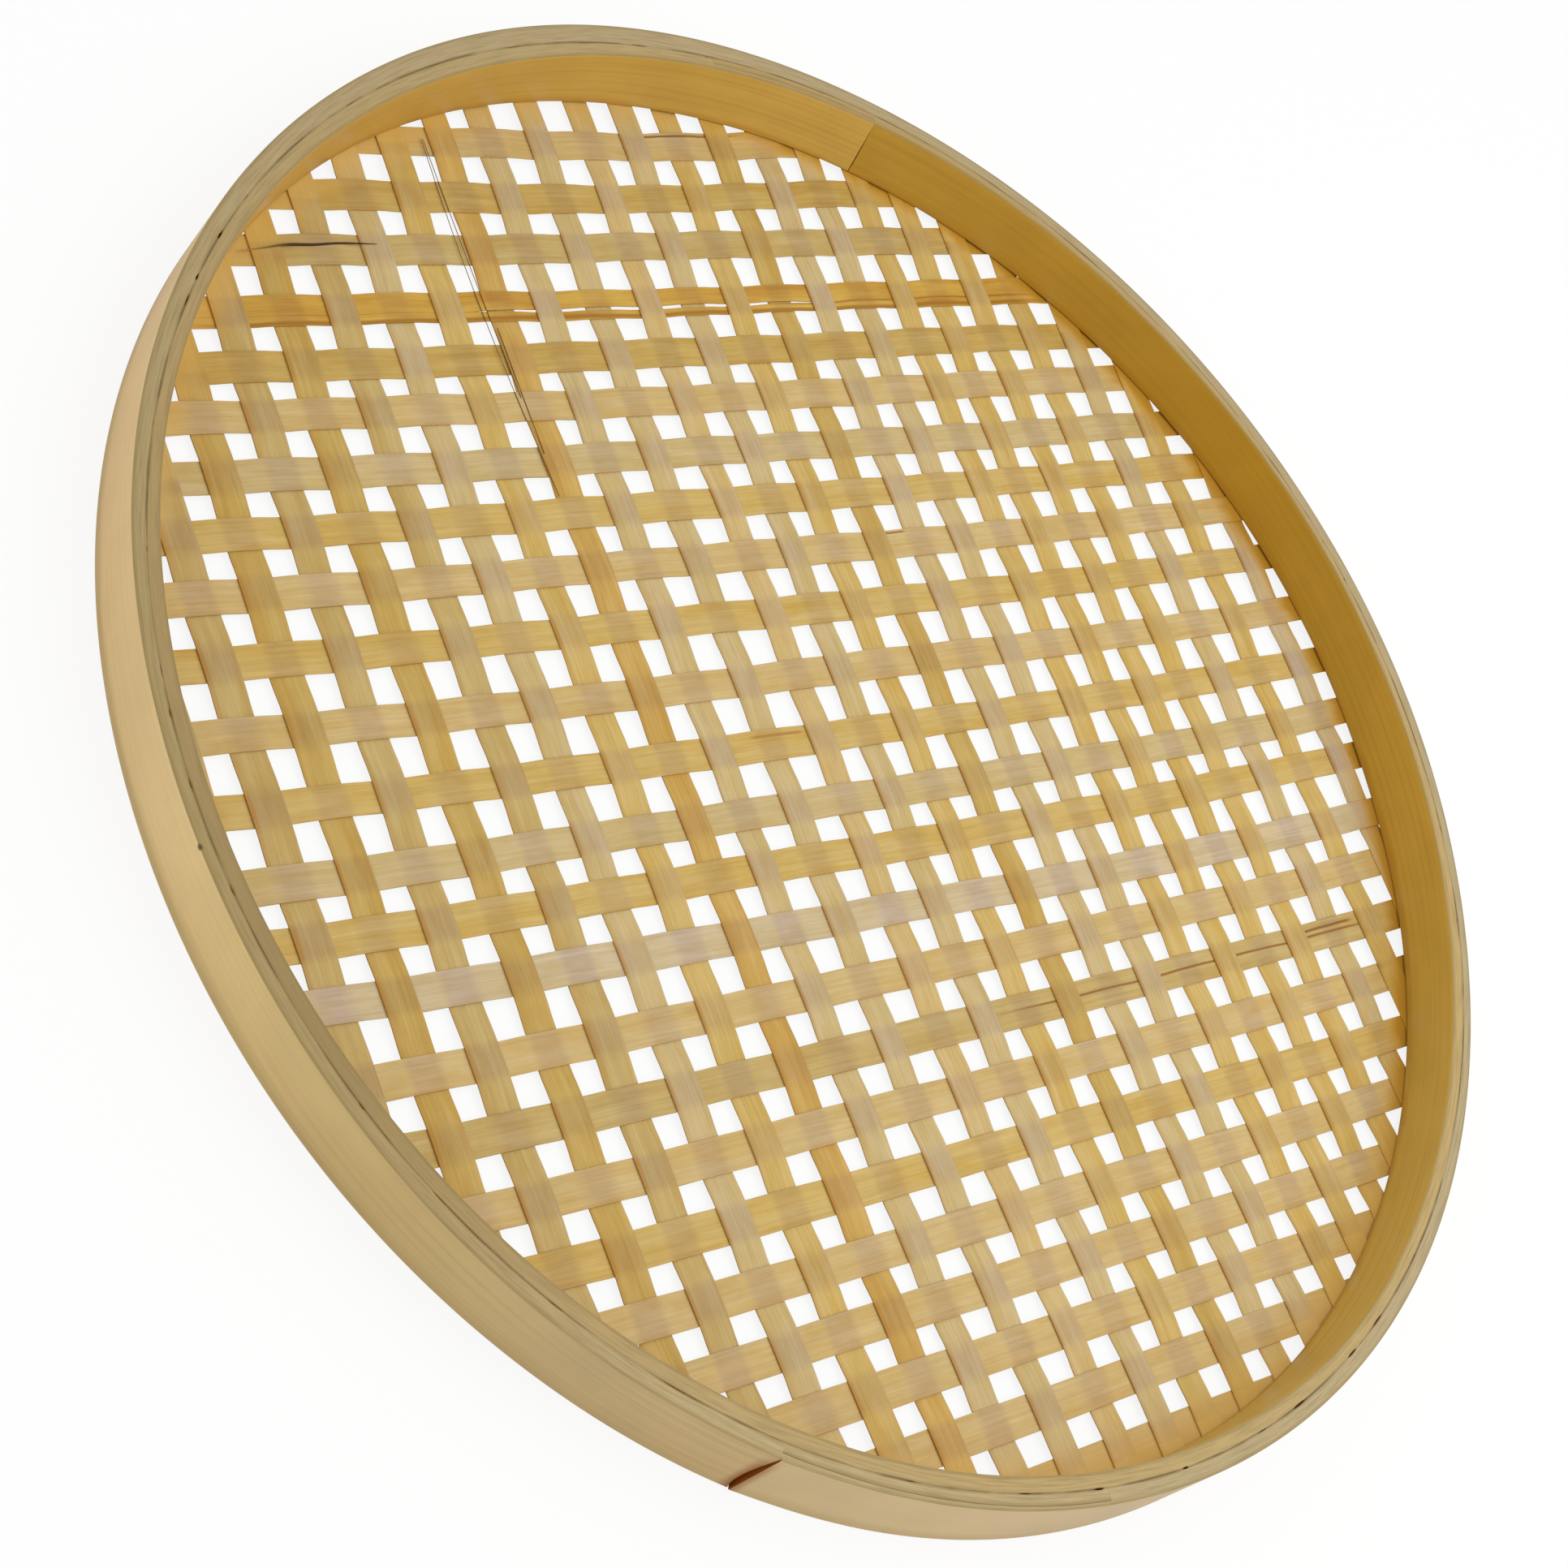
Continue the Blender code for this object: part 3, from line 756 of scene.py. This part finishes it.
    # The nick is not modelled in the shape: a small dark spot at the lath's corner is its painted shade.
    if notch:
        nick_full = 0.4 * mm
        nick_to = 1.0 * mm
        away = add(tree, "VectorMath", {0: run, 1: (notch, hoop_height, 0)}, operation="DISTANCE")["Value"]
        near = add(tree, "MapRange", {"Value": away, 1: nick_to, 2: nick_full, 4: 0.85})[0]
        colour = add(tree, "MixRGB", {0: near, 1: colour, 2: linear("#4A3212")})[0]
    tree.links.new(colour, surface.inputs["Base Color"])
    roughness = add(tree, "MapRange", {"Value": on_top, 3: 0.45, 4: 0.75})[0]
    tree.links.new(roughness, surface.inputs["Roughness"])
    surface.inputs["Specular IOR Level"].default_value = 0.35
    fibre_relief = 0.05 * mm
    relief = add(tree, "Math", {0: streaks, 1: fibres}, operation="ADD")[0]
    bump = add(tree, "Bump", {"Height": relief, "Strength": 0.25, "Distance": fibre_relief})[0]
    tree.links.new(bump, surface.inputs["Normal"])
    return material


outer_foot_swells = [(-110, 25, 1.7), (172, 30, -0.5)]
outer_top_swells = [(92, 28, 1.9), (180, 28, -0.7), (-32, 20, -1.0)]
outer_lap = (90 * mm, 1.4 * mm, 0.9 * mm, 0.12 * mm)
outer_hoop = bend_lath("bent_outer_lath", tray_radius, tray_radius - outer_thickness, 0, outer_end_angle,
                       outer_slit, 0, outer_lap, outer_foot_swells, outer_top_swells)
# Slow changes of tone along the run, at shares of it from the lath's seen end: on the face, then on top. The
# face's lighter stretch from 0.79 to 0.88, on the tray's left side, is painted light from the left.
outer_tones_and_light = [(0, "#C7AD7D"), (0.045, "#CBAF7F"), (0.08, "#BEA272"), (0.2, "#C8AC7A"), (0.7, "#D2B27C"),
               (0.79, "#E0BE85"), (0.85, "#E3C489"), (0.88, "#D8BA7C"), (0.92, "#CAAD70"), (0.96, "#C1A674"),
               (0.99, "#C4A672")]
outer_top_tones = [(0, "#BAA578"), (0.1, "#B4A076"), (0.25, "#B19F78"), (0.4, "#B19D74"), (0.5, "#B29E75"),
                   (0.7, "#B09B70"), (0.85, "#A6905E"), (0.93, "#AB9464"), (0.98, "#B8A275")]
outer_streak = "#A88C54"
outer_streak_shares = (0.12, 0.5, 0.86, 0.93)
outer_foot_tone = "#BCA26C"
notch_angle = 183.25
notch_run = math.radians(notch_angle + 360 - outer_end_angle) * tray_radius
outer_hoop.data.materials.append(planed_lath("planed_bamboo_skin_side", outer_tones_and_light, outer_streak,
                                             outer_streak_shares, outer_top_tones, outer_foot_tone,
                                             notch_run))
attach(outer_hoop, "root")
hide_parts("outer_hoop")

# The inner hoop: a second lath, pressed in over the sheet's turned-up edge, its golden pith side inwards.
# It stands on the sheet, and its lap shows as a fine leaning seam, darker on one side.
inner_thickness = 2.7 * mm
inner_end_angle = 63.75
inner_slit = 0.3 * mm
inner_slant = 3.5 * mm
room_over_sheet = 0.1 * mm
inner_bottom = sheet_level + wave_height + half_thickness + room_over_sheet
inner_foot_swells = [(84, 24, -2.6), (56, 18, -1.1), (14, 14, 0.3), (-10, 12, -0.9)]
inner_top_swells = [(28, 75, 1.2), (12, 14, 0.8), (-32, 14, -0.5), (152, 20, 0.8), (-70, 12, 0.5),
                    (104, 20, -0.7)]
inner_lap = (60 * mm, 1.0 * mm, 1.2 * mm, 0.03 * mm)
inner_hoop = bend_lath("bent_inner_lath", wall_radius, wall_radius + inner_thickness, inner_bottom,
                       inner_end_angle, inner_slit, inner_slant, inner_lap, inner_foot_swells,
                       inner_top_swells)
inner_tones = [(0, "#D3AA50"), (0.05, "#CAA24A"), (0.15, "#C79C44"), (0.25, "#CDAA60"), (0.7, "#CDA94C"),
               (0.78, "#C89C35"), (0.87, "#BE9022"), (0.995, "#BF9535")]
inner_top_tones = [(0, "#B69866"), (0.1, "#B19A69"), (0.25, "#AA905F"), (0.37, "#998151"), (0.45, "#B69B68"),
                   (0.6, "#B99F68"), (0.75, "#BC9F66"), (0.88, "#B89C66"), (0.99, "#B2955C")]
inner_streak = "#A47820"
inner_streak_shares = (0.35, 0.35, 0, 1)
inner_foot_tone = "#AA7418"
inner_hoop.data.materials.append(planed_lath("planed_bamboo_pith_side", inner_tones, inner_streak,
                                             inner_streak_shares, inner_top_tones, inner_foot_tone))
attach(inner_hoop, "root")
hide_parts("inner_hoop")

# Frayed fibres: three dark hairs that have lifted off the left edge of one warp and lie across the meshes,
# and a black splinter along the upper edge of weft 22. They rest on the strips.
hair_thickness = 0.2 * mm
splinter_thickness = 0.8 * mm
fibre_lift = 0.1 * mm
fibre_level = sheet_level + wave_height + half_thickness
# Each fibre's points are (X and Y in millimetres, share of its thickness there).
frayed_fibres = [
    ("hair", hair_thickness, [(-61.5, 176, 1), (-63.2, 150, 1), (-63.8, 120.7, 1), (-62.8, 95, 1),
                              (-61.7, 72.1, 1)]),
    ("hair", hair_thickness, [(-61.0, 176, 1), (-61.8, 148, 1), (-62.0, 121, 1), (-61.6, 100, 1)]),
    ("hair", hair_thickness, [(-60.6, 120, 1), (-60.9, 104, 1), (-61.2, 84, 1)]),
    ("splinter", splinter_thickness, [(-127, 141.8, 0.2), (-118, 143.0, 0.6), (-113.5, 144.2, 0.9),
                                      (-106, 143.6, 1), (-99, 144.6, 0.7), (-92.5, 144.4, 0.6),
                                      (-87, 144.3, 0.15)]),
]
fibre_materials = {"hair": split_bamboo("bamboo_fibre_dark", "#7A5426", "#5A3A16", 0),
                   "splinter": split_bamboo("bamboo_splinter_black", "#4A2A0E", "#2E1806", 0)}
for number, (kind, thickness, points) in enumerate(frayed_fibres, start=1):
    curve = bpy.data.curves.new(f"frayed_{kind}_{number}", "CURVE")
    curve.dimensions = "3D"
    curve.bevel_depth = thickness / 2
    curve.bevel_resolution = 1
    curve.use_fill_caps = True
    spline = curve.splines.new("NURBS")
    spline.points.add(len(points) - 1)
    for point, (x, y, share) in zip(spline.points, points):
        point.co = (x * mm, y * mm, fibre_level + fibre_lift, 1)
        point.radius = share
    spline.use_endpoint_u = True
    fibre = bpy.data.objects.new(f"frayed_{kind}_{number}", curve)
    bpy.context.scene.collection.objects.link(fibre)
    curve.materials.append(fibre_materials[kind])
    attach(fibre, "root")

# The floor: a plain pale sheet of matt board under the tray, seen through every mesh.
# It reads as white in the picture and keeps a faint shadow of the tray.
floor_half = 3.0
floor_level = -0.05 * mm
floor_glow = 0.86
corners = [(x * floor_half, y * floor_half, floor_level) for x, y in ((-1, -1), (1, -1), (1, 1), (-1, 1))]
floor_mesh = bpy.data.meshes.new("pale_floor")
floor_mesh.from_pydata(corners, [], [(0, 1, 2, 3)])
floor = bpy.data.objects.new("pale_floor", floor_mesh)
bpy.context.scene.collection.objects.link(floor)
board = bpy.data.materials.new("matt_white_board")
board.use_nodes = True
tree = board.node_tree
paper = tree.nodes["Principled BSDF"]
paper.inputs["Base Color"].default_value = linear("#F2F2F0")
paper.inputs["Roughness"].default_value = 0.9
glow = add(tree, "Emission", {"Color": linear("#FFFFFF"), "Strength": 1})[0]
seen = add(tree, "LightPath")["Is Camera Ray"]
glowing = add(tree, "Math", {0: seen, 1: floor_glow}, operation="MULTIPLY")[0]
mixed = add(tree, "MixShader", {0: glowing, 1: paper.outputs[0], 2: glow})[0]
tree.links.new(mixed, tree.nodes["Material Output"].inputs["Surface"])
floor_mesh.materials.append(board)

# The light: an even pale room, and one broad soft lamp above, towards the tray's near right side.
world = bpy.data.worlds.new("pale_room")
world.use_nodes = True
bpy.context.scene.world = world
tree = world.node_tree
room = tree.nodes["Background"]
room.inputs["Color"].default_value = linear("#FFFFFF")
room.inputs["Strength"].default_value = 0.85
backdrop = add(tree, "Background", {"Color": linear("#FFFFFF"), "Strength": 1})[0]
seen = add(tree, "LightPath")["Is Camera Ray"]
mixed = add(tree, "MixShader", {0: seen, 1: room.outputs[0], 2: backdrop})[0]
tree.links.new(mixed, tree.nodes["World Output"].inputs["Surface"])
lamp_data = bpy.data.lights.new("soft_lamp", "AREA")
lamp_data.shape = "DISK"
lamp_data.size = 0.9
lamp_data.energy = 3.2
lamp = bpy.data.objects.new("soft_lamp", lamp_data)
lamp.location = (0.4, -0.3, 0.8)
lamp.rotation_euler = (-lamp.location).to_track_quat("-Z", "Y").to_euler()
bpy.context.scene.collection.objects.link(lamp)

# The camera: high in front and to the left of the tray, rolled so that the tray leans across the picture.
camera_data = bpy.data.cameras.new("camera")
camera_data.sensor_width = 36
camera_data.lens = 64.708
camera_data.clip_start = 0.01
camera = bpy.data.objects.new("camera", camera_data)
camera_place = (-0.4812, -0.1843, 0.4943)
camera_right = (0.7461, -0.3593, 0.5605)
camera_up = (0.1150, 0.8988, 0.4230)
camera_back = (-0.6558, -0.2511, 0.7120)
rows = [[camera_right[row], camera_up[row], camera_back[row], camera_place[row]] for row in range(3)]
camera.matrix_world = Matrix(rows + [[0, 0, 0, 1]])
bpy.context.scene.collection.objects.link(camera)
bpy.context.scene.camera = camera
bpy.context.scene.view_settings.view_transform = "Standard"
